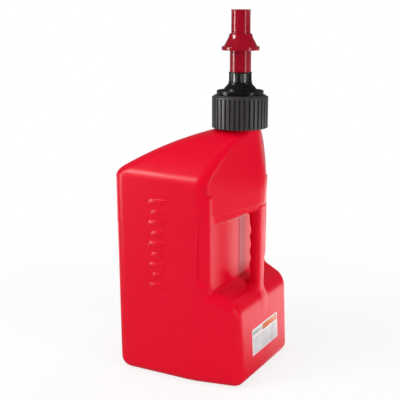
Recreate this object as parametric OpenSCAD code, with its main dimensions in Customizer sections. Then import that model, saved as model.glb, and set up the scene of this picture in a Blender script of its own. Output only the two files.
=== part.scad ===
// Fuel can: a blow-moulded tank with a through grip, a ribbed screw collar and a push-to-pour spout.
// Millimetres. The base rests on z = 0, and the grip and the label face +X.

/* [Tank] */
// Length from the rear face to the toe of the foot
tank_length = 256; // [200:1:300]
// Width across the two large sides
tank_width = 260; // [220:1:320]
// Height of the top of the side walls beside the grip
shoulder_z = 382; // [340:1:450]
// Fall of the top of the side walls from rear to front
shoulder_fall = 4; // [0:1:8]
// Rise of the roof from the side walls to the neck
roof_rise = 73; // [50:1:100]
// Bulge of the roof above a straight slope
roof_bulge = 10; // [0:1:14]
// Draw-in of the side and rear walls at the base
draft = 3; // [0:0.5:5]
// Wall thickness of the moulding
wall = 3; // [2:0.5:4]
// Radius of the rear vertical corners
rear_r = 26; // [20:1:34]
// Radius of the vertical corners beside the grip
front_r = 24; // [18:1:28]
// Rounding along the base
base_round = 21; // [10:1:21]
// Rounding along the top of the side walls
roof_round = 16; // [10:1:18]

/* [Foot and grip] */
// Depth of the foot in front of the grip's rear wall
foot_depth = 57; // [50:1:70]
// Height of the foot at the grip's rear wall
foot_rear_z = 178; // [150:1:190]
// Height of the foot at its front
foot_front_z = 156; // [130:1:170]
// Narrowing of the foot on each side at its front
foot_taper = 18; // [5:1:25]
// Lean of the label face from its base to its top
foot_lean = 6; // [0:1:10]
// Radius of the foot's front corners
foot_r = 22; // [20:1:30]
// Height of the tunnel's ceiling at the sides
ceiling_z = 299; // [270:1:320]
// Drop of the tunnel's ceiling at the handle
ceiling_drop = 9; // [0:1:14]
// Distance of the handle's front behind the toe of the foot
handle_setback = 11; // [8:1:16]
// Depth of the handle from front to rear
handle_depth = 24; // [20:1:28]
// Width of the handle
handle_width = 28; // [22:1:34]
// Pitch of the finger grooves
groove_pitch = 26.5; // [24:0.5:30]
// Radius of a finger groove
groove_r = 20; // [17:1:24]
// Number of finger grooves
groove_count = 4; // [3:1:4]
// Height of the recessed band under the nose
band_height = 14; // [8:1:20]
// Depth of that band's recess
band_recess = 3; // [2:0.5:6]

/* [Neck and collar] */
// Distance of the neck's axis behind the toe of the foot
spout_setback = 60; // [56:1:68]
// Largest radius of the nose under the neck
nose_r = 51; // [46:1:56]
// Bore radius of the neck
neck_bore_r = 33.5; // [30:0.5:35]
// Wall of the neck
neck_wall = 4; // [3.5:0.5:5]
// Height of the neck above the roof
neck_height = 48; // [44:1:60]
// Height of the thread ridge
thread_depth = 2.5; // [1.5:0.1:3]
// Rise of the thread in one turn
thread_pitch = 6; // [5:0.5:8]
// Turns of the thread
thread_turns = 2.5; // [2:0.5:3]
// Gap between the tip of a thread and the wall that it faces
thread_gap = 0.6; // [0.3:0.1:1]
// Wall of the collar over its ribs
collar_wall = 10; // [8:0.5:12]
// Height of the ribbed part of the collar
collar_height = 56; // [50:1:60]
// Number of grip ribs on the collar
rib_count = 36; // [24:1:48]
// Depth of the grooves between the ribs
rib_depth = 3; // [2:0.5:3]
// Width of a groove between two ribs
rib_gap = 3; // [2:0.5:4]
// Thickness of the collar's inward lip
lip_thick = 6.7; // [5:0.1:8]
// Thickness of the neck gasket
gasket_thick = 2.5; // [2:0.5:4]

/* [Spout] */
// Outer radius of the nozzle
nozzle_r = 17; // [15:0.5:18]
// Wall of the sleeve's lower tube
sleeve_wall = 1.82; // [1.5:0.01:2.5]
// Length of the sleeve's lower tube
sleeve_skirt = 38; // [34:1:44]
// Radius of the flange that is pushed against the filler
flange_r = 33.7; // [28:0.5:38]
// Thickness of that flange's rim
flange_rim = 8; // [6:1:10]
// Length of the nozzle above the hub
nozzle_length = 41; // [34:1:50]
// Outer radius of the inner barrel
barrel_r = 17.1; // [16:0.1:17.3]
// Wall of the inner barrel
barrel_wall = 2.2; // [1.8:0.1:2.6]
// Travel of the sleeve when it is pushed down
push_travel = 18; // [12:1:18]
// Number of windows in the cage
window_count = 6; // [4:1:8]
// Width of the posts between the windows
post_width = 3.8; // [3:0.2:6]
// Wire thickness of the return spring
wire = 2.2; // [1.6:0.1:2.4]
// Active turns of the return spring
spring_turns = 8; // [6:1:10]
// Outer radius of the vent stem
stem_r = 4.5; // [4:0.1:5]
// Bore radius of the vent stem
vent_r = 2.8; // [2:0.1:3]
// Length of the breather tube below the neck
breather_length = 180; // [120:1:195]

/* [Label] */
// Width of the label
label_w = 112; // [80:1:130]
// Height of the label
label_h = 50; // [40:1:70]
// Height of the label's lower edge
label_z = 46; // [30:1:60]
// Thickness of the label
label_t = 0.4; // [0.3:0.1:1]

/* [Fits] */
// Radial clearance of a sliding fit
slide_gap = 0.08; // [0.02:0.01:0.1]
// Radial clearance of a fixed part in its seat
seat_gap = 0.1; // [0.05:0.05:0.3]
// Play between the collar and the spout
collar_play = 0.3; // [0.2:0.1:0.5]

/* [Hidden] */

hull_fn = 32;                 // sides of the round corners of the moulding
round_fn = 96;                // sides of the turned parts in the preview
arc_n = 4;                    // steps in a rounded edge
eps = 0.01;

// Plan of the tank
toe_x = tank_length / 2;
spout_x = toe_x - spout_setback;
grip_wall_x = toe_x - foot_depth;
side_y = tank_width / 2;
rear_post = [-toe_x + rear_r, side_y - rear_r];
front_post = [grip_wall_x - front_r, side_y - front_r];
rear_foot_post = rear_post + [draft, -draft];      // the same corners at the base
front_foot_post = front_post + [0, -draft];
handle_front_x = toe_x - handle_setback;
handle_rear_x = handle_front_x - handle_depth;
handle_round = 9;

// Heights of the tank
neck_z = shoulder_z + roof_rise;
rear_shoulder_z = shoulder_z + shoulder_fall;
rim_z = neck_z + neck_height;
block_z = ceiling_z + band_height;      // underside of the nose block at the sides
nose_z = block_z + 10;                  // underside of the nose block at its tip
nose_wide_z = nose_z + 24;              // height where the nose is widest
ceiling_mid_z = ceiling_z - ceiling_drop;
neck_r = neck_bore_r + neck_wall;

// Collar
thread_crest_r = neck_r + thread_depth;
collar_bore_r = thread_crest_r + thread_gap;
collar_r = collar_bore_r + collar_wall;
inner_crest_r = neck_r + thread_gap;
thread_base_w = 0.5 * thread_pitch;
thread_tip_w = 0.27 * thread_pitch;
thread_z = rim_z - 8 - thread_turns * thread_pitch;
gasket_z = rim_z + gasket_thick;
plate_thick = 4.5;
plate_z = gasket_z + plate_thick;       // top of the base flange
plate_r = thread_crest_r - 0.2;
lip_z = plate_z + collar_play;          // underside of the collar's lip
lip_top_z = lip_z + lip_thick;
collar_top_z = lip_top_z - 3;
collar_z = collar_top_z - collar_height;
hub_r = plate_r - 2.2;                  // neck of the spout body inside the lip
lip_r = hub_r + collar_play + 0.1;

// Spout body
sleeve_bore_r = barrel_r + slide_gap;
sleeve_r = sleeve_bore_r + sleeve_wall;
disc_z = lip_top_z + collar_play;
disc_r = plate_r + 2.4;
disc_lip_z = disc_z + 1.7;
disc_top_z = disc_lip_z + 5.5;
disc_recess = 2;
cone_r = 29.6;
cone_z = disc_top_z + 3.5;
cage_z = cone_z + 9;
cage_gap = 0.3;
cage_in_r = sleeve_r + cage_gap;
cage_wall = 1.6;
cage_r = cage_in_r + cage_wall;
cage_h = push_travel + 2;
cage_top_z = cage_z + cage_h;
cage_ring = 2;
window_round = 5;
spigot_r = neck_bore_r - 0.7;
spigot_wall = 2.8;
spigot_h = 14;
screw_count = 3;
screw_pcd_r = spigot_r - spigot_wall - 4;
screw_r = 2;
screw_head_r = 3.4;
screw_head_h = 3;
screw_reach = 10;

// Barrel, stem and valve
barrel_bore_r = barrel_r - barrel_wall;
flow_r = barrel_bore_r - 1.4;
barrel_foot_r = barrel_r + 3.4;
barrel_foot_h = 4;
barrel_top_z = cage_top_z + sleeve_skirt;
ledge_z = plate_z + 24;
spider_h = 6;
spring_base_z = ledge_z + spider_h;
foot_seal_r = (barrel_r + flow_r) / 2 + 1.6;
foot_seal_cord = 1;

// Sleeve
sleeve_z = cage_top_z;
flange_z = sleeve_z + sleeve_skirt;
flange_top_z = flange_z + flange_rim;
sleeve_cone_h = 14;
hub_z = flange_top_z + sleeve_cone_h;
hub_h = 8;
nozzle_z = hub_z + hub_h;
sleeve_top_z = nozzle_z + nozzle_length;
step_z = hub_z + 0.5;
nozzle_bore_r = nozzle_r - 2.4;
seat_lip_r = nozzle_bore_r - 2;
mouth_r = nozzle_r - 1.8;
seal_z = sleeve_top_z - 12.6;           // top of the sleeve's valve seat
seat_thick = 2;
seat_ring_h = 2;
spring_top_z = step_z - seat_ring_h;
spring_r = barrel_bore_r - wire / 2 - 0.6;
slide_seal_z = barrel_top_z - 5.5;
slide_cord = 0.62;
slide_groove_r = sleeve_bore_r - 2 * slide_cord - 0.06;

// Plug on the stem
seal_thick = 1.2;
plug_z = seal_z + seal_thick;
plug_r = mouth_r - 0.8;
plug_h = 6.8;
boss_r = stem_r + 2.5;
boss_h = 7.5;
stem_top_z = plug_z + 3.8;
stem_bottom_z = gasket_z - 15;
stem_flange_r = stem_r + 1.7;
plug_cord = 0.65;
plug_oring_r = stem_r + seat_gap / 2 + plug_cord;
plug_oring_z = plug_z - 4;

// Breather
breather_wall = 1.8;
breather_top_z = gasket_z;
breather_z = breather_top_z - breather_length;
clip_wall = 0.8;
clip_h = 6;

// Label face
lean_top_z = foot_front_z - foot_r + 2;
lean_angle = atan2(foot_lean, lean_top_z - base_round);

// Radius of the nose at height z
function nose_at(z) =
  nose_r - (nose_r - neck_r) * pow(max(0, (z - nose_wide_z) / (neck_z - nose_wide_z)), 1.5);

// Point on the way from a to b
function mix(a, b, s) = a * (1 - s) + b * s;

// Upright post of radius r with its ends rounded by e, from z0 to z1
module post(p, r, e, z0, z1) {
  translate([p[0], p[1], 0])
    rotate_extrude($fn = hull_fn)
      polygon(concat(
        [[0, z0]],
        [for (i = [0:arc_n]) let (a = 90 * i / arc_n) [r - e + e * sin(a), z0 + e - e * cos(a)]],
        [for (i = [0:arc_n]) let (a = 90 * i / arc_n) [r - e + e * cos(a), z1 - e + e * sin(a)]],
        [[0, z1]]));
}

// The same post on both sides of the tank's middle plane
module post_pair(p, r, e, z0, z1) {
  for (s = [-1, 1])
    post([p[0], s * p[1]], r, e, z0, z1);
}

// Main box of the tank, set in by t on every face
module main_volume(t) {
  hull() {
    post_pair(rear_foot_post, rear_r - t, base_round - t, t, 2 * base_round);
    post_pair(front_foot_post, front_r - t, base_round - t, t, 2 * base_round);
    post_pair(rear_post, rear_r - t, roof_round - t, block_z, rear_shoulder_z - t);
    post_pair(front_post, front_r - t, roof_round - t, block_z, shoulder_z - t);
  }
}

// Roof and nose: the walls draw in to the neck over a bulging roof
module roof_volume(t) {
  hull() {
    post_pair(rear_post, rear_r - t, roof_round - t, block_z + t, rear_shoulder_z - t);
    post_pair(front_post, front_r - t, roof_round - t, block_z + t, shoulder_z - t);
    for (s = [0.2:0.2:0.8], q = [[rear_post, rear_shoulder_z], [front_post, shoulder_z]], m = [-1, 1])
      translate([mix(q[0][0], spout_x, s), mix(m * q[0][1], 0, s),
                 mix(q[1], neck_z, s) + 4 * roof_bulge * s * (1 - s) - t - 1])
        cylinder(r = mix(rear_r - roof_round + 6, neck_r, s) - t, h = 1, $fn = hull_fn);
    post([spout_x, 0], nose_r - 1 - t, 6, nose_z + t, nose_wide_z);
    for (k = [0:4])
      let (z = mix(nose_wide_z, neck_z - t - 1, k / 4))
        translate([spout_x, 0, z])
          cylinder(r = nose_at(z) - t, h = 1, $fn = hull_fn);
  }
}

// Recessed band that carries the handle's upper end
module band_volume(t) {
  hull() {
    post_pair(front_post, front_r - band_recess - t, 4, ceiling_z + t, nose_wide_z);
    post([spout_x, 0], nose_r - band_recess - 1 - t, 4, ceiling_mid_z + t, nose_wide_z);
  }
}

// Foot in front of the grip, with its leaning label face
module foot_volume(t) {
  half_w = side_y - foot_taper - foot_r;
  hull() {
    post_pair(front_foot_post, front_r - t, base_round - t, t, foot_rear_z + 3 - t);
    post_pair([toe_x - foot_r, half_w], foot_r - t, base_round - t, t, 2 * base_round);
    post_pair([toe_x - foot_r - foot_lean, half_w], foot_r - t, foot_r - 2 - t,
              foot_front_z - 2 * foot_r, foot_front_z - t);
  }
}

// Upright bar of the handle
module handle_volume(t) {
  rear_x = t > 0 ? handle_rear_x + groove_depth() : handle_rear_x;
  hull()
    for (x = [rear_x + handle_round, handle_front_x - handle_round], s = [-1, 1])
      translate([x, s * (handle_width / 2 - handle_round), foot_front_z - 20])
        cylinder(r = handle_round - t, h = block_z - 6 - foot_front_z + 20, $fn = hull_fn);
}

// Depth of a finger groove that meets its neighbour in a cusp
function groove_depth() = groove_r - sqrt(pow(groove_r, 2) - pow(groove_pitch / 2, 2));

// Finger grooves along the rear of the handle
module finger_grooves() {
  first_z = ceiling_mid_z - groove_pitch * 0.7;
  for (k = [0:groove_count - 1])
    translate([handle_rear_x + groove_depth() - groove_r, 0, first_z - k * groove_pitch])
      rotate([90, 0, 0])
        cylinder(r = groove_r, h = handle_width + 2, center = true, $fn = 48);
}

// Thread ridge that climbs anticlockwise from z0: it stands on root_r and reaches crest_r
module thread_ridge(root_r, crest_r, z0) {
  side_n = 32;
  n = round(side_n * thread_turns);
  sink = crest_r > root_r ? -0.4 : 0.4;
  section = [[root_r + sink, -thread_base_w / 2], [crest_r, -thread_tip_w / 2],
             [crest_r, thread_tip_w / 2], [root_r + sink, thread_base_w / 2]];
  ring = crest_r > root_r ? section : [for (j = [3:-1:0]) section[j]];
  points = [for (i = [0:n], p = ring)
              let (a = 360 * i / side_n)
              [p[0] * cos(a), p[0] * sin(a), z0 + p[1] + thread_pitch * i / side_n]];
  sides = [for (i = [0:n - 1], j = [0:3])
             [4 * i + j, 4 * i + (j + 1) % 4, 4 * (i + 1) + (j + 1) % 4, 4 * (i + 1) + j]];
  polyhedron(points, concat(sides, [[3, 2, 1, 0], [for (j = [0:3]) 4 * n + j]]));
}

// Blow-moulded tank with its neck
module tank_shell() {
  color([0.84, 0.02, 0.10])
    difference() {
      union() {
        main_volume(0);
        roof_volume(0);
        band_volume(0);
        foot_volume(0);
        difference() {
          handle_volume(0);
          finger_grooves();
        }
        translate([spout_x, 0, neck_z - 10])
          cylinder(r = neck_r, h = neck_height + 10, $fn = 64);
        translate([spout_x, 0, 0])
          thread_ridge(neck_r, thread_crest_r, thread_z);
      }
      main_volume(wall);
      roof_volume(wall);
      band_volume(wall);
      foot_volume(wall);
      handle_volume(wall);
      translate([spout_x, 0, neck_z - 20])
        cylinder(r = neck_bore_r, h = neck_height + 21, $fn = 64);
    }
}

// Label stuck to the leaning face of the foot
module front_label() {
  color([0.86, 0.86, 0.87])
    translate([toe_x, 0, base_round])
      rotate([0, -lean_angle, 0])
        translate([0, -label_w / 2, label_z - base_round])
          cube([label_t, label_w, label_h]);
}

// Ribbed screw collar with an inward lip
module collar_nut() {
  color([0.20, 0.19, 0.185])
    translate([spout_x, 0, 0]) {
      difference() {
        rotate_extrude($fn = round_fn)
          polygon([[collar_bore_r, collar_z], [collar_r - 1, collar_z], [collar_r, collar_z + 1],
                   [collar_r, collar_top_z - 2], [collar_r - 1.5, collar_top_z],
                   [collar_r - 3.4, collar_top_z], [collar_r - 5, lip_top_z - 0.6],
                   [collar_r - 7, lip_top_z], [lip_r, lip_top_z], [lip_r, lip_z],
                   [collar_bore_r, lip_z]]);
        for (k = [0:rib_count - 1])
          rotate([0, 0, 360 * k / rib_count])
            translate([collar_r - rib_depth, -rib_gap / 2, collar_z + 2])
              cube([rib_depth + 1, rib_gap, collar_height - 4.5]);
      }
      thread_ridge(collar_bore_r, inner_crest_r, thread_z + thread_pitch / 2);
    }
}

// Flat gasket on the neck's rim
module neck_gasket() {
  color([0.10, 0.10, 0.10])
    translate([spout_x, 0, rim_z])
      difference() {
        cylinder(r = plate_r, h = gasket_thick, $fn = round_fn);
        translate([0, 0, -1])
          cylinder(r = spigot_r + seat_gap, h = gasket_thick + 2, $fn = round_fn);
      }
}

// Positions of the screws that hold the base flange
module at_screws() {
  for (k = [0:screw_count - 1])
    rotate([0, 0, 360 * k / screw_count + 60])
      translate([screw_pcd_r, 0, 0])
        children();
}

// Base flange with the spigot that centres the spout in the neck
module base_flange() {
  color([0.16, 0.155, 0.15])
    translate([spout_x, 0, 0])
      difference() {
        rotate_extrude($fn = round_fn)
          polygon([[flow_r, gasket_z], [spigot_r - spigot_wall, gasket_z],
                   [spigot_r - spigot_wall, gasket_z - spigot_h], [spigot_r - 1, gasket_z - spigot_h],
                   [spigot_r, gasket_z - spigot_h + 2], [spigot_r, gasket_z], [plate_r, gasket_z],
                   [plate_r, plate_z], [flow_r, plate_z]]);
        translate([0, 0, plate_z])
          rotate_extrude($fn = round_fn)
            translate([foot_seal_r - foot_seal_cord - 0.2, -2 * foot_seal_cord + 0.02])
              square([2 * foot_seal_cord + 0.4, 2 * foot_seal_cord]);
        at_screws()
          translate([0, 0, gasket_z - 1])
            cylinder(r = screw_r + 0.2, h = plate_thick + 2, $fn = 32);
      }
}

// Three pan-head screws, driven from below
module flange_screws() {
  color([0.72, 0.73, 0.75])
    translate([spout_x, 0, 0])
      at_screws()
        difference() {
          union() {
            translate([0, 0, gasket_z - screw_head_h])
              cylinder(r = screw_head_r, h = screw_head_h, $fn = 32);
            translate([0, 0, gasket_z - eps])
              cylinder(r = screw_r, h = plate_thick + screw_reach, $fn = 32);
          }
          for (a = [0, 90])
            rotate([0, 0, a])
              translate([-2, -0.5, gasket_z - screw_head_h - 1])
                cube([4, 1, 2.6]);
        }
}

// Seal between the base flange and the barrel's foot
module foot_oring() {
  color([0.10, 0.10, 0.10])
    translate([spout_x, 0, plate_z - foot_seal_cord + 0.01])
      rotate_extrude($fn = round_fn)
        translate([foot_seal_r, 0])
          circle(r = foot_seal_cord - 0.02, $fn = 32);
}

// Outline of one cage window, with its lower corners rounded
module window_outline(w, h) {
  translate([-w / 2, window_round])
    square([w, h - window_round]);
  translate([-w / 2 + window_round, 0])
    square([w - 2 * window_round, h]);
  for (s = [-1, 1])
    translate([s * (w / 2 - window_round), window_round])
      circle(r = window_round, $fn = 48);
}

// Spout body: a disc over the collar, a cone and the windowed cage that guides the sleeve
module spout_body() {
  pitch_angle = 360 / window_count;
  window_w = 2 * cage_r * sin(pitch_angle / 2) - post_width;
  color([0.235, 0.225, 0.22])
    translate([spout_x, 0, 0])
      difference() {
        rotate_extrude($fn = round_fn)
          polygon([[barrel_r + seat_gap, plate_z + barrel_foot_h],
                   [barrel_foot_r + seat_gap, plate_z + barrel_foot_h],
                   [barrel_foot_r + seat_gap, plate_z], [hub_r, plate_z], [hub_r, disc_z],
                   [disc_r - 2, disc_z], [disc_r - 2, disc_lip_z], [disc_r, disc_lip_z],
                   [disc_r, disc_top_z - 0.8], [disc_r - 0.8, disc_top_z],
                   [disc_r - 2.6, disc_top_z], [disc_r - 2.6, disc_top_z - disc_recess],
                   [cone_r, disc_top_z - disc_recess], [cone_r, cone_z], [cage_r, cage_z],
                   [cage_r, cage_top_z], [cage_in_r, cage_top_z], [cage_in_r, cage_z + 0.5],
                   [barrel_r + seat_gap, cage_z + 0.5]]);
        at_screws()
          translate([0, 0, plate_z - 1])
            cylinder(r = screw_r + 0.02, h = screw_reach + 1.5, $fn = 32);
        for (k = [0:window_count - 1])
          rotate([0, 0, -90 + 18 + pitch_angle * (k + 0.5)])
            translate([cage_in_r - 5, 0, cage_z + cage_ring])
              rotate([90, 0, 90])
                linear_extrude(height = 10)
                  window_outline(window_w, cage_h - 2 * cage_ring);
      }
}

// Barrel inside the cage: the sleeve slides over it
module inner_barrel() {
  color([0.09, 0.09, 0.095])
    translate([spout_x, 0, 0])
      rotate_extrude($fn = round_fn)
        polygon([[flow_r, plate_z], [barrel_foot_r, plate_z], [barrel_foot_r, plate_z + barrel_foot_h],
                 [barrel_r, plate_z + barrel_foot_h], [barrel_r, slide_seal_z - slide_cord - 0.3],
                 [slide_groove_r, slide_seal_z - slide_cord - 0.3],
                 [slide_groove_r, slide_seal_z + slide_cord + 0.3],
                 [barrel_r, slide_seal_z + slide_cord + 0.3], [barrel_r, barrel_top_z - 1],
                 [barrel_r - 1, barrel_top_z], [barrel_bore_r, barrel_top_z],
                 [barrel_bore_r, ledge_z], [flow_r, ledge_z]]);
}

// Sliding seal in the barrel's groove
module slide_oring() {
  color([0.10, 0.10, 0.10])
    translate([spout_x, 0, slide_seal_z])
      rotate_extrude($fn = round_fn)
        translate([slide_groove_r + slide_cord + 0.03, 0])
          circle(r = slide_cord, $fn = 24);
}

// Push-to-pour sleeve: skirt, flange, cone and nozzle in one turned piece
module sliding_sleeve() {
  color([0.62, 0.02, 0.10])
    translate([spout_x, 0, 0])
      rotate_extrude($fn = round_fn)
        polygon([[sleeve_bore_r, sleeve_z], [sleeve_r, sleeve_z], [sleeve_r, flange_z + 2.4],
                 [flange_r - 2.6, flange_z + 3.4], [flange_r - 2.6, flange_z],
                 [flange_r - 0.8, flange_z], [flange_r, flange_z + 0.8],
                 [flange_r, flange_top_z - 1.2], [flange_r - 1.2, flange_top_z],
                 [flange_r - 4.2, flange_top_z], [sleeve_r + 2.5, hub_z], [sleeve_r, hub_z + 1],
                 [sleeve_r, nozzle_z - 3], [sleeve_r + 1.5, nozzle_z - 2.6],
                 [sleeve_r + 1.5, nozzle_z - 1.2], [nozzle_r, nozzle_z],
                 [nozzle_r, sleeve_top_z - 0.8], [nozzle_r - 0.6, sleeve_top_z],
                 [mouth_r, sleeve_top_z], [mouth_r, seal_z], [seat_lip_r, seal_z],
                 [seat_lip_r, seal_z - seat_thick], [nozzle_bore_r, seal_z - seat_thick - 2],
                 [nozzle_bore_r, step_z], [sleeve_bore_r, step_z]]);
}

// Ring that carries the spring's push into the sleeve
module spring_seat() {
  color([0.72, 0.73, 0.75])
    translate([spout_x, 0, spring_top_z])
      difference() {
        cylinder(r = sleeve_bore_r - 0.3, h = seat_ring_h, $fn = round_fn);
        translate([0, 0, -1])
          cylinder(r = spring_r - wire / 2 - 0.1, h = seat_ring_h + 2, $fn = round_fn);
      }
}

// Height of the spring's wire at turn u: closed end coils and even turns between them
function coil_z(u) =
  let (end = 0.75, low = spring_base_z + wire / 2, high = spring_top_z - wire / 2)
  low + (high - low) * min(1, max(0, (u - end) / spring_turns));

// Return spring
module return_spring() {
  side_n = 16;
  wire_n = 8;
  total = spring_turns + 1.5;
  n = round(total * side_n);
  points = [for (i = [0:n], j = [0:wire_n - 1])
              let (u = i / side_n, a = 360 * u, b = 360 * (j + 0.5) / wire_n,
                   r = spring_r + wire / 2 * cos(b))
              [r * cos(a), r * sin(a), coil_z(u) + wire / 2 * sin(b)]];
  sides = [for (i = [0:n - 1], j = [0:wire_n - 1])
             let (k = (j + 1) % wire_n)
             [wire_n * i + j, wire_n * i + k, wire_n * (i + 1) + k, wire_n * (i + 1) + j]];
  caps = [[for (j = [wire_n - 1:-1:0]) j], [for (j = [0:wire_n - 1]) wire_n * n + j]];
  color([0.72, 0.73, 0.75])
    translate([spout_x, 0, 0])
      polyhedron(points, concat(sides, caps));
}

// Three-armed spider on the barrel's ledge: it holds the stem and seats the spring
module stem_spider() {
  ring_in_r = spring_r - wire / 2 - 0.3;
  hub_out_r = stem_r + 2.6;
  color([0.16, 0.155, 0.15])
    translate([spout_x, 0, ledge_z])
      difference() {
        union() {
          difference() {
            cylinder(r = barrel_bore_r - seat_gap, h = spider_h, $fn = round_fn);
            translate([0, 0, -1])
              cylinder(r = ring_in_r, h = spider_h + 2, $fn = round_fn);
          }
          cylinder(r = hub_out_r, h = spider_h, $fn = round_fn);
          for (k = [0:2])
            rotate([0, 0, 120 * k])
              translate([stem_r + 1, -1.2, 0])
                cube([ring_in_r - stem_r, 2.4, spider_h]);
        }
        translate([0, 0, -1])
          cylinder(r = stem_r + seat_gap / 2, h = spider_h + 2, $fn = 48);
      }
}

// Vent stem: a tube with a shoulder that rests on the spider
module vent_stem() {
  color([0.20, 0.19, 0.185])
    translate([spout_x, 0, 0])
      rotate_extrude($fn = 48)
        polygon([[vent_r, stem_bottom_z], [stem_r - 0.6, stem_bottom_z], [stem_r, stem_bottom_z + 1.5],
                 [stem_r, spring_base_z], [stem_flange_r, spring_base_z],
                 [stem_flange_r, spring_base_z + 2], [stem_r, spring_base_z + 2.8],
                 [stem_r, stem_top_z], [vent_r, stem_top_z]]);
}

// Hexagonal nut under the spider
module stem_nut() {
  nut_h = 5;
  color([0.72, 0.73, 0.75])
    translate([spout_x, 0, ledge_z - nut_h])
      difference() {
        cylinder(r = stem_r + 3.2, h = nut_h, $fn = 6);
        translate([0, 0, -1])
          cylinder(r = stem_r + seat_gap / 2, h = nut_h + 2, $fn = 48);
      }
}

// Valve plug on the top of the stem, with the vent's mouth through it
module valve_plug() {
  color([0.20, 0.19, 0.185])
    translate([spout_x, 0, 0])
      rotate_extrude($fn = round_fn)
        polygon([[vent_r - 0.6, stem_top_z], [stem_r + seat_gap / 2, stem_top_z],
                 [stem_r + seat_gap / 2, plug_oring_z + plug_cord + 0.2],
                 [stem_r + 2 * plug_cord + 0.1, plug_oring_z + plug_cord + 0.2],
                 [stem_r + 2 * plug_cord + 0.1, plug_oring_z - plug_cord - 0.2],
                 [stem_r + seat_gap / 2, plug_oring_z - plug_cord - 0.2],
                 [stem_r + seat_gap / 2, plug_z - boss_h], [boss_r, plug_z - boss_h],
                 [boss_r, plug_z], [plug_r, plug_z], [plug_r, plug_z + plug_h - 2],
                 [plug_r - 2, plug_z + plug_h], [vent_r - 0.6, plug_z + plug_h]]);
}

// Flat rubber seal under the plug
module plug_seal() {
  color([0.10, 0.10, 0.10])
    translate([spout_x, 0, seal_z])
      difference() {
        cylinder(r = plug_r, h = seal_thick, $fn = round_fn);
        translate([0, 0, -1])
          cylinder(r = boss_r + seat_gap / 2, h = seal_thick + 2, $fn = round_fn);
      }
}

// Small seal between the plug and the stem
module plug_oring() {
  color([0.10, 0.10, 0.10])
    translate([spout_x, 0, plug_oring_z])
      rotate_extrude($fn = 48)
        translate([plug_oring_r, 0])
          circle(r = plug_cord - 0.05, $fn = 24);
}

// Soft breather tube pushed over the stem's lower end
module breather_tube() {
  color([0.80, 0.80, 0.76])
    translate([spout_x, 0, breather_z])
      difference() {
        cylinder(r = stem_r + seat_gap / 2 + breather_wall, h = breather_length, $fn = 48);
        translate([0, 0, -1])
          cylinder(r = stem_r + seat_gap / 2, h = breather_length + 2, $fn = 48);
      }
}

// Spring clip around the breather tube's upper end, with its two ears
module tube_clip() {
  tube_r = stem_r + seat_gap / 2 + breather_wall + 0.05;
  color([0.72, 0.73, 0.75])
    translate([spout_x, 0, breather_top_z - clip_h - 5])
      difference() {
        union() {
          cylinder(r = tube_r + clip_wall, h = clip_h, $fn = 48);
          for (s = [-1, 1])
            translate([tube_r, s * 1.4 - 0.4, 0])
              cube([3.6, 0.8, clip_h]);
        }
        translate([0, 0, -1])
          cylinder(r = tube_r, h = clip_h + 2, $fn = 48);
        translate([0, -1, -1])
          cube([tube_r + clip_wall + 1, 2, clip_h + 2]);
      }
}

tank_shell();
front_label();
collar_nut();
neck_gasket();
base_flange();
flange_screws();
foot_oring();
spout_body();
inner_barrel();
slide_oring();
sliding_sleeve();
spring_seat();
return_spring();
stem_spider();
vent_stem();
stem_nut();
valve_plug();
plug_seal();
plug_oring();
breather_tube();
tube_clip();
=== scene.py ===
import math
from itertools import product

import bmesh
import bpy
import numpy as np
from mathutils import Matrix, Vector


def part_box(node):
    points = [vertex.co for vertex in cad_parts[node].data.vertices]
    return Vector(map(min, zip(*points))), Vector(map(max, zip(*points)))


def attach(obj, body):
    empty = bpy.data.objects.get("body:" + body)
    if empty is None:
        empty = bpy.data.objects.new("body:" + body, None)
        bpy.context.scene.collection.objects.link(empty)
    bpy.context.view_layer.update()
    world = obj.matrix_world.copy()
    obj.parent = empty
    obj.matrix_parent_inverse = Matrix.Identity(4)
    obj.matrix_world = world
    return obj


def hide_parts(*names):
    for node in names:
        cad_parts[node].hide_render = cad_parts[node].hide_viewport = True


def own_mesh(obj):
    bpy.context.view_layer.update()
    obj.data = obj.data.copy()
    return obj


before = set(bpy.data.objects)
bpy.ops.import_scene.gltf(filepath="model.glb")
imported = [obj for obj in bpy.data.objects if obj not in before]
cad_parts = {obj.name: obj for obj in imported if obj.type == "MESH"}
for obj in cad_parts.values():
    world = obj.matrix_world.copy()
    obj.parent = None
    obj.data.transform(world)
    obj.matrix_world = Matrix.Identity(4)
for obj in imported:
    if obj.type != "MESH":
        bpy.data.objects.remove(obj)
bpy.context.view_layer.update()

mm = 0.001
scene = bpy.context.scene
collection = scene.collection


# every place is worked out from the frame, in millimetres

def cornersOf(node):
    return [np.array(p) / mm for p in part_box(node)]


sleeveLow, sleeveHigh = cornersOf("sliding_sleeve")
collarLow, collarHigh = cornersOf("collar_nut")
spoutLow, spoutHigh = cornersOf("spout_body")
barrelLow, barrelHigh = cornersOf("inner_barrel")
springLow, springHigh = cornersOf("return_spring")
tankHigh = cornersOf("tank_shell")[1]
toeX, rimZ = tankHigh[0], tankHigh[2]
spoutX = (sleeveLow[0] + sleeveHigh[0]) / 2


# small helpers for meshes

def addMesh(name, points, faces):
    mesh = bpy.data.meshes.new(name)
    mesh.from_pydata([tuple(p) for p in points], [], [tuple(f) for f in faces])
    mesh.update()
    mesh.shade_smooth()
    piece = bpy.data.objects.new(name, mesh)
    collection.objects.link(piece)
    return piece


def keepShape(piece):
    # the modifiers' result becomes the mesh
    bpy.context.view_layer.update()
    shaped = piece.evaluated_get(bpy.context.evaluated_depsgraph_get())
    mesh = bpy.data.meshes.new_from_object(shaped)
    piece.modifiers.clear()
    piece.data = mesh
    mesh.name = piece.name
    return piece


def solidStep(piece, other, operation):
    # joins another closed piece to this one, or cuts it away
    modifier = piece.modifiers.new("solid", "BOOLEAN")
    modifier.object = other
    modifier.operation = operation
    modifier.solver = "MANIFOLD"
    keepShape(piece)
    bpy.data.objects.remove(other)
    return piece


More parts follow.
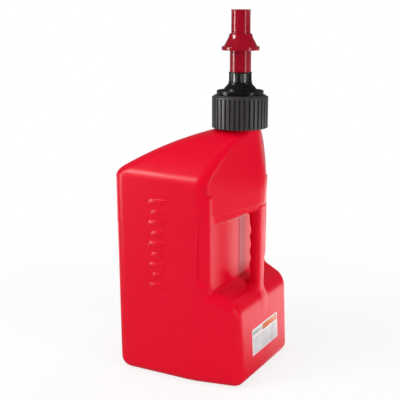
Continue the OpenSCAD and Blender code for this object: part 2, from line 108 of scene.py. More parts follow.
def faceOutwards(piece):
    work = bmesh.new()
    work.from_mesh(piece.data)
    bmesh.ops.remove_doubles(work, verts=work.verts, dist=1e-7)
    bmesh.ops.recalc_face_normals(work, faces=work.faces)
    work.to_mesh(piece.data)
    work.free()
    return piece


def weld(piece, reach):
    # drops the slivers that cutting leaves, so smooth faces shade smoothly
    work = bmesh.new()
    work.from_mesh(piece.data)
    bmesh.ops.remove_doubles(work, verts=work.verts, dist=reach * mm)
    bmesh.ops.dissolve_degenerate(work, edges=work.edges, dist=reach * mm / 2)
    work.to_mesh(piece.data)
    work.free()


def prism(name, outline, low, high, place):
    # a closed block on an outline of (u, v) points, from w = low to w = high
    # place(u, v, w) gives x, y, z in mm
    size = len(outline)
    points = [[c * mm for c in place(u, v, w)] for w in (low, high) for u, v in outline]
    faces = [tuple(range(size)), tuple(range(2 * size - 1, size - 1, -1))]
    faces += [(i, (i + 1) % size, size + (i + 1) % size, size + i) for i in range(size)]
    return faceOutwards(addMesh(name, points, faces))


def smoothTo(piece, degrees):
    piece.data.shade_smooth()
    piece.data.set_sharp_from_angle(angle=math.radians(degrees))
    return piece


def dress(piece, material, body, *replaced):
    piece.data.materials.clear()
    piece.data.materials.append(material)
    for polygon in piece.data.polygons:
        polygon.material_index = 0
    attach(piece, body)
    if replaced:
        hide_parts(*replaced)
    return piece


def roundedOutline(corners, arcStep=0.3):
    # corners are (u, v, rounding); each rounding becomes a short curve
    outline = []
    count = len(corners)
    for i, (u, v, rounding) in enumerate(corners):
        here = Vector((u, v))
        before = Vector(corners[i - 1][:2]) - here
        after = Vector(corners[(i + 1) % count][:2]) - here
        if rounding <= 0:
            outline.append(here)
            continue
        angle = before.angle(after)
        reach = min(rounding / math.tan(angle / 2), before.length * 0.48, after.length * 0.48)
        start = here + before.normalized() * reach
        end = here + after.normalized() * reach
        steps = max(2, round((math.pi - angle) / arcStep))
        for k in range(steps + 1):
            t = k / steps
            outline.append(start * (1 - t) ** 2 + here * 2 * t * (1 - t) + end * t * t)
    return outline


def turned(name, corners, steps=128):
    # a closed outline of (radius, height, rounding) turned round the spout's axis
    outline = roundedOutline(corners)
    size = len(outline)
    points = []
    for s in range(steps):
        a = 2 * math.pi * s / steps
        for p in outline:
            points.append(((spoutX + p.x * math.cos(a)) * mm, p.x * math.sin(a) * mm, p.y * mm))
    faces = []
    for s, i in product(range(steps), range(size)):
        t, j = (s + 1) % steps, (i + 1) % size
        faces.append((s * size + i, t * size + i, t * size + j, s * size + j))
    return smoothTo(faceOutwards(addMesh(name, points, faces)), 40)


# trees for what repeats

def newTree(name, inputs):
    tree = bpy.data.node_groups.new(name, "GeometryNodeTree")
    for label, kind in inputs:
        tree.interface.new_socket(label, in_out="INPUT", socket_type=kind)
    tree.interface.new_socket("Geometry", in_out="OUTPUT", socket_type="NodeSocketGeometry")
    return tree


def mathNode(tree, operation, *values):
    node = tree.nodes.new("ShaderNodeMath")
    node.operation = operation
    for i, value in enumerate(values):
        if isinstance(value, (int, float)):
            node.inputs[i].default_value = value
        else:
            tree.links.new(value, node.inputs[i])
    return node.outputs[0]


def finishTree(tree, geometry, materialSocket):
    realize = tree.nodes.new("GeometryNodeRealizeInstances")
    paint = tree.nodes.new("GeometryNodeSetMaterial")
    end = tree.nodes.new("NodeGroupOutput")
    tree.links.new(geometry, realize.inputs["Geometry"])
    tree.links.new(realize.outputs["Geometry"], paint.inputs["Geometry"])
    tree.links.new(materialSocket, paint.inputs["Material"])
    tree.links.new(paint.outputs["Geometry"], end.inputs["Geometry"])


def ringTree():
    # copies of a shape, turned round the upright axis through (Axis X, 0)
    tree = newTree("copiesRoundAxis", [("Shape", "NodeSocketObject"), ("Count", "NodeSocketInt"),
                                       ("First Angle", "NodeSocketFloat"), ("Axis X", "NodeSocketFloat"),
                                       ("Material", "NodeSocketMaterial")])
    start = tree.nodes.new("NodeGroupInput")
    shape = tree.nodes.new("GeometryNodeObjectInfo")
    tree.links.new(start.outputs["Shape"], shape.inputs["Object"])
    centre = tree.nodes.new("ShaderNodeCombineXYZ")
    tree.links.new(start.outputs["Axis X"], centre.inputs["X"])
    points = tree.nodes.new("GeometryNodePoints")
    tree.links.new(start.outputs["Count"], points.inputs["Count"])
    tree.links.new(centre.outputs[0], points.inputs["Position"])
    turn = mathNode(tree, "DIVIDE", 2 * math.pi, start.outputs["Count"])
    turn = mathNode(tree, "MULTIPLY_ADD", tree.nodes.new("GeometryNodeInputIndex").outputs[0], turn,
                    start.outputs["First Angle"])
    rotation = tree.nodes.new("ShaderNodeCombineXYZ")
    tree.links.new(turn, rotation.inputs["Z"])
    copies = tree.nodes.new("GeometryNodeInstanceOnPoints")
    tree.links.new(points.outputs[0], copies.inputs["Points"])
    tree.links.new(shape.outputs["Geometry"], copies.inputs["Instance"])
    tree.links.new(rotation.outputs[0], copies.inputs["Rotation"])
    finishTree(tree, copies.outputs[0], start.outputs["Material"])
    return tree


def rowTree():
    # copies of a shape in an even row
    tree = newTree("copiesInRow", [("Shape", "NodeSocketObject"), ("Count", "NodeSocketInt"),
                                   ("Step", "NodeSocketVector"), ("Material", "NodeSocketMaterial")])
    start = tree.nodes.new("NodeGroupInput")
    shape = tree.nodes.new("GeometryNodeObjectInfo")
    tree.links.new(start.outputs["Shape"], shape.inputs["Object"])
    place = tree.nodes.new("ShaderNodeVectorMath")
    place.operation = "SCALE"
    tree.links.new(start.outputs["Step"], place.inputs["Vector"])
    tree.links.new(tree.nodes.new("GeometryNodeInputIndex").outputs[0], place.inputs["Scale"])
    points = tree.nodes.new("GeometryNodePoints")
    tree.links.new(start.outputs["Count"], points.inputs["Count"])
    tree.links.new(place.outputs[0], points.inputs["Position"])
    copies = tree.nodes.new("GeometryNodeInstanceOnPoints")
    tree.links.new(points.outputs[0], copies.inputs["Points"])
    tree.links.new(shape.outputs["Geometry"], copies.inputs["Instance"])
    finishTree(tree, copies.outputs[0], start.outputs["Material"])
    return tree


def coilTree():
    # a wire wound round the upright axis, its first and last turns laid flat
    tree = newTree("compressionCoil", [("Coil Radius", "NodeSocketFloat"), ("Wire Radius", "NodeSocketFloat"),
                                       ("Low Z", "NodeSocketFloat"), ("High Z", "NodeSocketFloat"),
                                       ("Turns", "NodeSocketFloat"), ("Flat Turns", "NodeSocketFloat"),
                                       ("Steps Per Turn", "NodeSocketInt"), ("Axis X", "NodeSocketFloat"),
                                       ("Material", "NodeSocketMaterial")])
    start = tree.nodes.new("NodeGroupInput")
    flat = mathNode(tree, "MULTIPLY", start.outputs["Flat Turns"], 2)
    total = mathNode(tree, "ADD", start.outputs["Turns"], flat)
    count = mathNode(tree, "MULTIPLY_ADD", total, start.outputs["Steps Per Turn"], 1)
    line = tree.nodes.new("GeometryNodeMeshLine")
    tree.links.new(count, line.inputs["Count"])
    turn = mathNode(tree, "DIVIDE", tree.nodes.new("GeometryNodeInputIndex").outputs[0],
                    start.outputs["Steps Per Turn"])
    angle = mathNode(tree, "MULTIPLY", turn, 2 * math.pi)
    climb = tree.nodes.new("ShaderNodeMapRange")
    tree.links.new(turn, climb.inputs["Value"])
    tree.links.new(start.outputs["Flat Turns"], climb.inputs["From Min"])
    tree.links.new(mathNode(tree, "ADD", start.outputs["Turns"], start.outputs["Flat Turns"]),
                   climb.inputs["From Max"])
    tree.links.new(start.outputs["Low Z"], climb.inputs["To Min"])
    tree.links.new(start.outputs["High Z"], climb.inputs["To Max"])
    place = tree.nodes.new("ShaderNodeCombineXYZ")
    tree.links.new(mathNode(tree, "MULTIPLY_ADD", mathNode(tree, "COSINE", angle),
                            start.outputs["Coil Radius"], start.outputs["Axis X"]), place.inputs["X"])
    tree.links.new(mathNode(tree, "MULTIPLY", mathNode(tree, "SINE", angle),
                            start.outputs["Coil Radius"]), place.inputs["Y"])
    tree.links.new(climb.outputs["Result"], place.inputs["Z"])
    wound = tree.nodes.new("GeometryNodeSetPosition")
    tree.links.new(line.outputs[0], wound.inputs["Geometry"])
    tree.links.new(place.outputs[0], wound.inputs["Position"])
    path = tree.nodes.new("GeometryNodeMeshToCurve")
    tree.links.new(wound.outputs[0], path.inputs["Mesh"])
    section = tree.nodes.new("GeometryNodeCurvePrimitiveCircle")
    section.inputs["Resolution"].default_value = 10
    tree.links.new(start.outputs["Wire Radius"], section.inputs["Radius"])
    wire = tree.nodes.new("GeometryNodeCurveToMesh")
    wire.inputs["Fill Caps"].default_value = True
    tree.links.new(path.outputs[0], wire.inputs["Curve"])
    tree.links.new(section.outputs[0], wire.inputs["Profile Curve"])
    finishTree(tree, wire.outputs[0], start.outputs["Material"])
    return tree


def grown(name, tree, values):
    # the tree's result with these input values, as a plain mesh
    piece = bpy.data.objects.new(name, bpy.data.meshes.new(name))
    collection.objects.link(piece)
    modifier = piece.modifiers.new("tree", "NODES")
    modifier.node_group = tree
    sockets = {item.name: item.identifier for item in tree.interface.items_tree if item.in_out == "INPUT"}
    for label, value in values.items():
        modifier[sockets[label]] = value
    keepShape(piece)
    shape = values.get("Shape")
    if shape:
        bpy.data.objects.remove(shape)
    return faceOutwards(piece)


copiesRoundAxis = ringTree()
copiesInRow = rowTree()
compressionCoil = coilTree()


# node-based materials, all on Object coordinates

def newMaterial(name, colour, roughness, specular=0.5):
    material = bpy.data.materials.new(name)
    material.use_nodes = True
    shader = material.node_tree.nodes["Principled BSDF"]
    shader.inputs["Base Color"].default_value = (*colour, 1)
    shader.inputs["Roughness"].default_value = roughness
    shader.inputs["Specular IOR Level"].default_value = specular
    return material, shader


def objectNoise(material, scale, detail=3, stretch=(1, 1, 1)):
    tree = material.node_tree
    place = tree.nodes.new("ShaderNodeTexCoord")
    mapping = tree.nodes.new("ShaderNodeMapping")
    mapping.inputs["Scale"].default_value = stretch
    noise = tree.nodes.new("ShaderNodeTexNoise")
    noise.inputs["Scale"].default_value = scale
    noise.inputs["Detail"].default_value = detail
    tree.links.new(place.outputs["Object"], mapping.inputs["Vector"])
    tree.links.new(mapping.outputs["Vector"], noise.inputs["Vector"])
    return noise.outputs["Fac"]


def spread(material, value, low, high):
    # maps the middle of a noise to the range low to high
    tree = material.node_tree
    node = tree.nodes.new("ShaderNodeMapRange")
    node.inputs["From Min"].default_value = 0.3
    node.inputs["From Max"].default_value = 0.7
    node.inputs["To Min"].default_value = low
    node.inputs["To Max"].default_value = high
    tree.links.new(value, node.inputs["Value"])
    return node.outputs["Result"]


def mottle(material, shader, colour, other, value):
    tree = material.node_tree
    mix = tree.nodes.new("ShaderNodeMix")
    mix.data_type = "RGBA"
    mix.inputs["A"].default_value = (*colour, 1)
    mix.inputs["B"].default_value = (*other, 1)
    tree.links.new(value, mix.inputs["Factor"])
    tree.links.new(mix.outputs["Result"], shader.inputs["Base Color"])


def relief(material, shader, layers):
    # stacked bumps: (height value, distance in metres)
    tree = material.node_tree
    normal = None
    for value, distance in layers:
        bump = tree.nodes.new("ShaderNodeBump")
        bump.inputs["Strength"].default_value = 1
        bump.inputs["Distance"].default_value = distance
        tree.links.new(value, bump.inputs["Height"])
        if normal:
            tree.links.new(normal, bump.inputs["Normal"])
        normal = bump.outputs["Normal"]
    tree.links.new(normal, shader.inputs["Normal"])


def tankPlastic():
    red, deepRed = (0.735, 0.0, 0.020), (0.72, 0.0, 0.018)
    material, shader = newMaterial("tankPlastic", red, 0.3, 0.14)
    tree = material.node_tree
    mottle(material, shader, red, deepRed, spread(material, objectNoise(material, 14), 0, 1))
    tree.links.new(spread(material, objectNoise(material, 30, 2), 0.29, 0.32), shader.inputs["Roughness"])
    relief(material, shader, [(objectNoise(material, 16, 0), 0.0006)])
    return material


def spoutPlastic():
    red, deepRed = (0.32, 0.0, 0.013), (0.28, 0.0, 0.011)
    material, shader = newMaterial("spoutPlastic", red, 0.16, 0.38)
    tree = material.node_tree
    mottle(material, shader, red, deepRed, spread(material, objectNoise(material, 40), 0, 1))
    tree.links.new(spread(material, objectNoise(material, 120, 4), 0.13, 0.2), shader.inputs["Roughness"])
    relief(material, shader, [(objectNoise(material, 60, 1), 0.00003)])
    return material


def blackPlastic(name, grey, roughness, specular):
    warm = (grey, grey * 0.93, grey * 0.88)
    material, shader = newMaterial(name, warm, roughness, specular)
    tree = material.node_tree
    mottle(material, shader, warm, tuple(0.75 * c for c in warm),
           spread(material, objectNoise(material, 60), 0, 1))
    rough = spread(material, objectNoise(material, 200, 4), roughness - 0.04, roughness + 0.05)
    tree.links.new(rough, shader.inputs["Roughness"])
    relief(material, shader, [(objectNoise(material, 1500, 2), 0.00003)])
    return material


def filmPrint(name, colour):
    material, shader = newMaterial(name, colour, 0.4, 0.3)
    mottle(material, shader, colour, tuple(0.93 * c for c in colour),
           spread(material, objectNoise(material, 90), 0, 1))
    return material


def sealRubber():
    material, shader = newMaterial("sealRubber", (0.018, 0.018, 0.018), 0.7, 0.3)
    mottle(material, shader, (0.018, 0.018, 0.018), (0.03, 0.03, 0.03),
           spread(material, objectNoise(material, 300), 0, 1))
    relief(material, shader, [(objectNoise(material, 1200, 3), 0.00004)])
    return material


def platedSteel():
    material, shader = newMaterial("platedSteel", (0.62, 0.61, 0.59), 0.3)
    shader.inputs["Metallic"].default_value = 1
    brushing = objectNoise(material, 120, 3, (1, 1, 14))
    material.node_tree.links.new(spread(material, brushing, 0.24, 0.4), shader.inputs["Roughness"])
    relief(material, shader, [(brushing, 0.00002)])
    return material


def hoseRubber():
    material, shader = newMaterial("hoseRubber", (0.62, 0.62, 0.55), 0.45, 0.4)
    shader.inputs["Transmission Weight"].default_value = 0.35
    mottle(material, shader, (0.62, 0.62, 0.55), (0.55, 0.55, 0.47),
           spread(material, objectNoise(material, 80), 0, 1))
    relief(material, shader, [(objectNoise(material, 500, 2), 0.00003)])
    return material


tankRed = tankPlastic()
spoutRed = spoutPlastic()
blackSatin = blackPlastic("blackSatin", 0.042, 0.42, 0.5)
blackMoulded = blackPlastic("blackMoulded", 0.006, 0.25, 0.25)
blackGloss = blackPlastic("blackGloss", 0.085, 0.14, 0.6)
labelFilm = filmPrint("labelFilm", (0.90, 0.88, 0.89))
headerOrange = filmPrint("headerOrange", (0.80, 0.24, 0.09))
printGrey = filmPrint("printGrey", (0.50, 0.50, 0.51))
rubber = sealRubber()
steel = platedSteel()
hose = hoseRubber()
print("materials made")


# the tank: one smooth field, negative inside, meshed on a graded grid

tank = {
    "halfWidth": 130,                  # from the middle plane to a large side
    "rearRadius": 26,                  # rear vertical corners
    "frontRadius": 24,                 # vertical corners beside the grip
    "gripWallX": 71,                   # the wall behind the grip
    "eaveZ": 376,                      # where the walls would meet the roof, beside the grip
    "eaveFall": 4,                     # the eaves drop from rear to front
    "roofRise": 79,
    "roofBulge": 10,
    "eaveSoftness": 0.085,             # rounding of the eaves, as a share of the rise
    "neckRadius": 37.5,
    "noseRadius": 51,
    "noseWideZ": 347,                  # above this the nose narrows to the neck
    "draft": 3,                        # the walls draw in towards the base
    "draftTopZ": 320,
    "baseRounding": 21,
    "footStartX": 36,
    "footSlope": 0.192,                # how the foot's sides draw in towards the front
    "footTopZ": 177,                   # at the grip's rear wall
    "footTopFall": 0.43,
    "footEdge": 18,
    "footLean": 6,
    "footLeanZ": 136,
    "cornerStep": (48.5, 3.4),         # the corner beside the grip is set in: its rear edge, its depth
    "gripCorner": 4,                   # rounding of the grip wall's upright edges
    "blockZ": 313,                     # underside of the nose at the grip's rear wall
    "blockClimb": 0.154,
    "bandZ": 299.4,                    # underside of the set-in band below the nose
    "bandClimb": 0.295,
    "bandRecess": 3,
    "bandDrop": 8,                     # the band's underside hangs lower in the middle
    "bodyTopZ": 351,                   # the lower body ends inside the roof's part
    "handleZ": (126, 318),             # the handle's ends, sunk in the foot and in the nose
    "handle": (94, 117, 14, 8),        # rear x, front x, half width, corner rounding
    "grooveRadius": 20,
    "groovePitch": 26.5,
    "grooveTopZ": 271.5,
    "grooveDepth": 5,
    "wall": 3,
    "capZ": 468,                       # the turned neck takes over here
}
rearPost = (-toeX + tank["rearRadius"], tank["halfWidth"] - tank["rearRadius"], tank["rearRadius"])
frontPost = (tank["gripWallX"] - tank["frontRadius"], tank["halfWidth"] - tank["frontRadius"],
             tank["frontRadius"])
neckPost = (spoutX, 0, tank["neckRadius"])


def softMax(a, b, reach):
    h = np.maximum(reach - np.abs(a - b), 0) / reach
    return np.maximum(a, b) + h * h * reach / 4


def filletJoin(a, b, radius):
    u, v = np.maximum(radius - a, 0), np.maximum(radius - b, 0)
    return np.maximum(radius, np.minimum(a, b)) - np.hypot(u, v)


def roundCut(a, b, radius):
    u, v = np.maximum(radius + a, 0), np.maximum(radius + b, 0)
    return np.minimum(-radius, np.maximum(a, b)) + np.hypot(u, v)


def noseRadiusAt(z):
    neckZ = tank["eaveZ"] + tank["roofRise"] - 2
    climb = np.clip((z - tank["noseWideZ"]) / (neckZ - tank["noseWideZ"]), 0, 1)
    return tank["noseRadius"] - (tank["noseRadius"] - tank["neckRadius"]) * climb ** 2 * (3 - 2 * climb)


def roofShare(x, z):
    # 0 at the eaves, 1 at the neck, over a bulging roof
    rearShare = np.clip((frontPost[0] - x) / (frontPost[0] - rearPost[0]), -0.1, 1.1)
    up = z - tank["eaveZ"] - tank["eaveFall"] * rearShare
    rise, bulge = tank["roofRise"] - tank["eaveFall"] * rearShare, tank["roofBulge"]
    inside = np.clip(up, 0, rise)
    share = (rise + 4 * bulge - np.sqrt((rise + 4 * bulge) ** 2 - 16 * bulge * inside)) / (8 * bulge)
    share = share + np.minimum(up, 0) / (rise + 4 * bulge) + np.maximum(up - rise, 0) / (rise - 4 * bulge)
    share = softMax(share, 0 * share, tank["eaveSoftness"])
    return 1 - softMax(1 - share, 0 * share, 0.1)


def blendPost(post, share):
    return [post[i] * (1 - share) + neckPost[i] * share for i in range(3)]


def outline(x, y, z):
    # distance to the plan's hull at height z: two posts on each side, and the nose
    side = np.abs(y)
    step = 0.5
    share, shareUp = roofShare(x, z), roofShare(x, z + step)
    rear, front = blendPost(rearPost, share), blendPost(frontPost, share)
    rearUp, frontUp = blendPost(rearPost, shareUp), blendPost(frontPost, shareUp)
    nose, noseUp = noseRadiusAt(z), noseRadiusAt(z + step)
    angles = list(np.radians(np.arange(0, 181, 3.75)))
    # the straight flank between the front post and the nose
    span = (1 - share) * math.hypot(spoutX - frontPost[0], frontPost[1])
    lean = np.clip((nose - front[2]) / np.maximum(span, 1), -0.95, 0.95)
    angles.append(math.atan2(frontPost[1], frontPost[0] - spoutX) - np.arccos(lean))
    best = None
    for angle in angles:
        c, s = np.cos(angle), np.sin(angle)

        def reach(rearNow, frontNow, noseNow):
            far = np.maximum(c * rearNow[0] + s * rearNow[1] + rearNow[2],
                             c * frontNow[0] + s * frontNow[1] + frontNow[2])
            return np.maximum(far, c * spoutX + noseNow)
        here = reach(rear, front, nose)
        slope = (reach(rearUp, frontUp, noseUp) - here) / step
        gap = (c * x + s * side - here) / np.sqrt(1 + slope * slope)
        best = gap if best is None else np.maximum(best, gap)
    return best


def drawIn(z):
    return tank["draft"] * np.clip(1 - z / tank["draftTopZ"], 0, 1)


def tankField(x, y, z):
    side = np.abs(y)
    wallX = tank["gripWallX"]
    fall = tank["footTopFall"]
    footTop = (z - tank["footTopZ"] + fall * (x - wallX)) / math.hypot(1, fall)
    # lower body with the foot
    rear = -toeX + drawIn(z) - x
    flank = side - tank["halfWidth"] + drawIn(z)
    stepX, stepDepth = tank["cornerStep"]
    besideGrip = np.clip((x - stepX) / 1.2, 0, 1) * np.clip((footTop - 3) / 8, 0, 1)
    flank = flank + stepDepth * besideGrip
    lean = math.atan2(tank["footLean"], tank["footLeanZ"] - tank["baseRounding"])
    face = (x - toeX) * math.cos(lean) + (z - tank["baseRounding"]) * math.sin(lean)
    taper = tank["footSlope"]
    footFlank = (x - tank["footStartX"]) * taper + flank * math.sqrt(1 - taper ** 2) - 0.0095 * z
    body = roundCut(rear, softMax(flank, footFlank, 3), tank["rearRadius"])
    body = roundCut(body, face, 20)
    body = roundCut(body, -z, tank["baseRounding"])
    edge = tank["footEdge"] + (tank["gripCorner"] - tank["footEdge"]) * np.clip(footTop / 12, 0, 1)
    body = roundCut(body, filletJoin(footTop, x - wallX, 6), edge)
    body = np.maximum(body, z - tank["bodyTopZ"])
    # roof, nose block and the recessed band under it
    upper = outline(x, y, z)
    block = roundCut(upper, tank["blockZ"] + tank["blockClimb"] * (x - wallX) - z, 3.5)
    drop = tank["bandDrop"] * np.clip(1 - side / 115, 0, 1) * np.clip((wallX + 25 - x) / 24, 0, 1)
    bandFloor = tank["bandZ"] + tank["bandClimb"] * (x - wallX) - drop
    band = roundCut(upper + tank["bandRecess"], bandFloor - z, 3)
    whole = np.minimum(np.minimum(body, block), band)
    # handle with its finger grooves
    rearX, frontX, halfWidth, rounding = tank["handle"]
    handle = roundCut(np.abs(x - (rearX + frontX) / 2) - (frontX - rearX) / 2, side - halfWidth, rounding)
    grooveX = rearX + tank["grooveDepth"] - tank["grooveRadius"]
    for k in range(4):
        grooveZ = tank["grooveTopZ"] - k * tank["groovePitch"]
        handle = roundCut(handle, tank["grooveRadius"] - np.hypot(x - grooveX, z - grooveZ), 1.6)
    handleLow, handleTop = tank["handleZ"]
    handle = np.maximum(np.maximum(handle, z - handleTop), handleLow - z)
    fillet = np.where(z < 236, 9, 1 + 8 * np.clip((frontX - 7 - x) / 10, 0, 1))
    whole = filletJoin(whole, handle, fillet)
    return np.maximum(whole, z - tank["capZ"])


def partingRidge(x, y, z):
    # flash line of the two mould halves, stronger on the wall behind the grip
    wallX = tank["gripWallX"]
    onWall = np.clip((wallX + 17 - x) / 10, 0, 1) * np.clip((x - wallX + 15) / 8, 0, 1) * \
        np.clip((z - tank["footTopZ"]) / 8, 0, 1) * np.clip((306 - z) / 8, 0, 1)
    return (0.35 - 0.25 * onWall) * np.exp(-(y / 1.1) ** 2) + 0.35 * onWall * np.exp(-(y / 5) ** 2)


def outerField(x, y, z):
    return tankField(x, y, z) - partingRidge(x, y, z)


def innerField(x, y, z):
    return np.maximum(tankField(x, y, z) + tank["wall"], z - tank["capZ"] + 8)


def gradedAxis(*spans):
    # spans are (end, spacing); the first gives only the start
    values = [spans[0]]
    for end, spacing in spans[1:]:
        count = max(1, round((end - values[-1]) / spacing))
        values.extend(np.linspace(values[-1], end, count + 1)[1:])
    return np.array(values, dtype=float)


def meshField(name, field, axes):
    # surface nets: one point in each mixed cell, then drawn onto the surface
    sizes = [len(a) for a in axes]
    values = field(axes[0][:, None, None], axes[1][None, :, None], axes[2][None, None, :])
    values = np.broadcast_to(values, sizes)
    inside = values < 0
    cells = tuple(n - 1 for n in sizes)
    total = np.zeros(cells + (3,))
    hits = np.zeros(cells)
    for a in range(3):
        b, c = (a + 1) % 3, (a + 2) % 3
        v = np.moveaxis(values, (a, b, c), (0, 1, 2))
        low, high = v[:-1], v[1:]
        crossing = (low < 0) != (high < 0)
        t = np.where(crossing, low / np.where(crossing, low - high, 1), 0)
        along = axes[a][:-1, None, None] + t * np.diff(axes[a])[:, None, None]
        for db, dc in product((0, 1), repeat=2):
            part = np.s_[:, db:v.shape[1] - 1 + db, dc:v.shape[2] - 1 + dc]
            mask = crossing[part]
            spot = np.zeros(mask.shape + (3,))
            spot[..., a] = along[part]
            spot[..., b] = axes[b][db:len(axes[b]) - 1 + db][None, :, None]
            spot[..., c] = axes[c][dc:len(axes[c]) - 1 + dc][None, None, :]
            total += np.moveaxis(spot * mask[..., None], (0, 1, 2), (a, b, c))
            hits += np.moveaxis(mask, (0, 1, 2), (a, b, c))
    mixed = hits > 0
    index = np.full(cells, -1)
    index[mixed] = np.arange(mixed.sum())
    points = total[mixed] / hits[mixed][:, None]
    quads = []
    for a in range(3):
        b, c = (a + 1) % 3, (a + 2) % 3
        flags = np.moveaxis(inside, (a, b, c), (0, 1, 2))[:, 1:-1, 1:-1]
        cell = np.moveaxis(index, (a, b, c), (0, 1, 2))
        changed = flags[:-1] != flags[1:]
        corner = [cell[:, 0:-1, 0:-1], cell[:, 1:, 0:-1], cell[:, 1:, 1:], cell[:, 0:-1, 1:]]
        faces = np.stack([k[changed] for k in corner], axis=1)
        outward = flags[:-1][changed]
        faces[~outward] = faces[~outward][:, ::-1]
        quads.append(faces)
    for k in range(5):
        e = 0.05
        here = field(*points.T)
        slope = np.stack([(field(*(points + e * axis).T) - field(*(points - e * axis).T)) / (2 * e)
                          for axis in np.eye(3)], axis=1)
        step = here[:, None] * slope / np.maximum((slope ** 2).sum(1), 0.2)[:, None]
        points = points - np.clip(step, -1, 1) * (0.9 if k < 4 else 1)
    return addMesh(name, points * mm, np.concatenate(quads))


def tankMesh():
    coarse = 1
    edge = tank["halfWidth"] + 6
    outerAxes = (gradedAxis(-toeX - 6, (45, 4.2 * coarse), (52, 0.9 * coarse), (toeX + 6, 2.6 * coarse)),
                 gradedAxis(-edge, (-18, 3.2 * coarse), (-5, 2.1 * coarse), (5, 1), (18, 2.1 * coarse),
                            (edge, 3.2 * coarse)),
                 gradedAxis(-6, (36, 3 * coarse), (140, 4 * coarse), (324, 2.7 * coarse),
                            (356, 4 * coarse), (394, 2.5 * coarse), (tank["capZ"] + 6, 3.4 * coarse)))
    piece = meshField("tankShell", outerField, outerAxes)
    innerAxes = (gradedAxis(-toeX - 4, (toeX + 4, 5.4 * coarse)), gradedAxis(-edge, (edge, 5.4 * coarse)),
                 gradedAxis(-4, (tank["capZ"] + 4, 5.4 * coarse)))
    cavity = meshField("cavity", innerField, innerAxes)
    return piece, cavity


thread = {"pitch": 6, "turns": 2.5, "rootWidth": 3, "crestWidth": 1.6, "perTurn": 64, "runOut": 5}


def threadRidge(name, rootRadius, crestRadius, startZ):
    # a ridge of trapezoid section that climbs round the neck, for the tank or for the collar
    count = int(thread["perTurn"] * thread["turns"])
    sunk = rootRadius + math.copysign(0.4, rootRadius - crestRadius)
    softened = crestRadius + math.copysign(0.3, rootRadius - crestRadius)
    half, tip = thread["rootWidth"] / 2, thread["crestWidth"] / 2
    section = [(sunk, -half), (softened, -tip - 0.2), (crestRadius, -tip + 0.3),
               (crestRadius, tip - 0.3), (softened, tip + 0.2), (sunk, half)]
    points, faces = [], []
    size = len(section)
    for i in range(count + 1):
        a = 2 * math.pi * i / thread["perTurn"]
        fade = min(1, i / thread["runOut"], (count - i) / thread["runOut"])      # both ends run out
        z = startZ + thread["pitch"] * i / thread["perTurn"]
        for r, h in section:
            r = sunk + (r - sunk) * (0.15 + 0.85 * fade)
            points.append(((spoutX + r * math.cos(a)) * mm, r * math.sin(a) * mm, (z + h) * mm))
    for i, j in product(range(count), range(size)):
        k = (j + 1) % size
        faces.append((i * size + j, (i + 1) * size + j, (i + 1) * size + k, i * size + k))
    faces.append(tuple(range(size)))
    faces.append(tuple(count * size + j for j in reversed(range(size))))
    return faceOutwards(addMesh(name, points, faces))


levelBar = {
    "x": -30, "lowZ": 178, "step": 19.5, "count": 9, "long": 35, "short": 23, "tall": 9.5,
    "slant": 4, "proud": 0.6, "bevel": 1, "sunk": 1.6,
}


def levelBars():
    # plain slanted relief bars on both large sides, a long and a short one by turns
    pieces = []
    for side, (offset, length) in product((-1, 1), ((0, levelBar["long"]), (1, levelBar["short"]))):
        lowZ = levelBar["lowZ"] + offset * levelBar["step"]
        wallY = tank["halfWidth"] - float(drawIn(lowZ))
        half, up, shift = length / 2, levelBar["tall"] / 2, levelBar["slant"] / 2
        proud, bevel = levelBar["proud"], levelBar["bevel"]
        outer = [(-half - shift, -up), (half - shift, -up), (half + shift, up), (-half + shift, up)]
        inner = [(u - math.copysign(bevel, u), v - math.copysign(bevel, v)) for u, v in outer]
        levels = [(-levelBar["sunk"], outer), (proud - bevel * 0.7, outer), (proud, inner)]
        points = [(mm * (levelBar["x"] + u), mm * side * (wallY + w), mm * (lowZ + v))
                  for w, ring in levels for u, v in ring]
        faces = [(0, 1, 2, 3), (8, 9, 10, 11)]
        faces += [(4 * k + i, 4 * k + (i + 1) % 4, 4 * k + 4 + (i + 1) % 4, 4 * k + 4 + i)
                  for k, i in product(range(2), range(4))]
        shape = faceOutwards(addMesh("bar", points, faces))
        lean = tank["draft"] / tank["draftTopZ"] * 2 * levelBar["step"]
        pieces.append(grown("levelBars", copiesInRow, {
            "Shape": shape, "Count": (levelBar["count"] + 1 - offset) // 2,
            "Step": (0, side * lean * mm, 2 * levelBar["step"] * mm), "Material": tankRed}))
    return pieces


tankShell, cavity = tankMesh()
print("tank field meshed", len(tankShell.data.polygons), len(cavity.data.polygons))
neck = {"radius": 37.5, "bore": 33.5, "crest": 40, "threadZ": rimZ - 23, "stubZ": 446, "boreZ": 449}
neckStub = turned("neckStub", [(0, neck["stubZ"], 0), (neck["radius"], neck["stubZ"], 0),
                               (neck["radius"], rimZ, 0.8), (30, rimZ, 0), (0, rimZ, 0)])
neckBore = turned("neckBore", [(0, neck["boreZ"], 0), (neck["bore"], neck["boreZ"], 0),
                               (neck["bore"], rimZ + 3, 0), (0, rimZ + 3, 0)])
solidStep(tankShell, neckStub, "UNION")
solidStep(tankShell, threadRidge("neckThread", neck["radius"], neck["crest"], neck["threadZ"]), "UNION")
for barRow in levelBars():
    solidStep(tankShell, barRow, "UNION")
solidStep(cavity, neckBore, "UNION")
solidStep(tankShell, cavity, "DIFFERENCE")
weld(tankShell, 0.04)
smoothTo(tankShell, 50)
dress(tankShell, tankRed, "tank", "tank_shell")
print("tank made", sum(len(p.vertices) - 2 for p in tankShell.data.polygons), "triangles")


# label on the leaning face of the foot

label = {
    "width": 112, "height": 50, "lowZ": 46, "thick": 0.4, "corner": 2,
    "headerShare": 0.6, "headerHeight": 11, "margin": 3,
    "ruleHeight": 1.2, "ruleStep": 3.1, "ruleCount": 10, "columns": 3, "print": 0.08,
}


